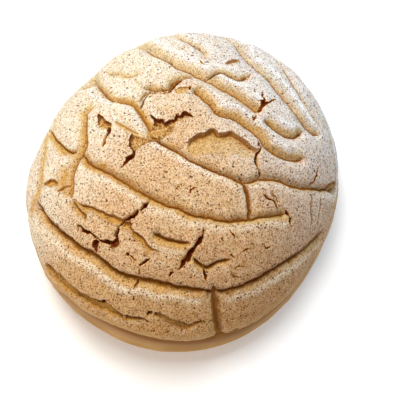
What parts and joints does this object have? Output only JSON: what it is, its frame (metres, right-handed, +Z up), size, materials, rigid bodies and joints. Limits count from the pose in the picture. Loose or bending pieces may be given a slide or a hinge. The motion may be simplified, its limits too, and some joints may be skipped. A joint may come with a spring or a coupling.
{
  "type": "concha",
  "caption": "Domed round sweet bun under a pale cap of sugar paste, scored in curved lines and cracked by baking, resting on a flat foot.",
  "frame": {"origin": "on the floor, under the middle of the bun, at the centre of its flat foot", "axes": "+Z up through the crown; -Y towards the viewer of the scored front; +X to the viewer's right"},
  "size_m": [0.1166, 0.1253, 0.056],
  "materials": {
    "bread_crust": "smooth golden-tan baked crust, satin",
    "sugar_paste": "dry cream sugar paste with cinnamon specks, matte"
  },
  "bodies": {
    "root": {"bread": "bread_crust", "topping": "sugar_paste"}
  },
  "joints": []
}
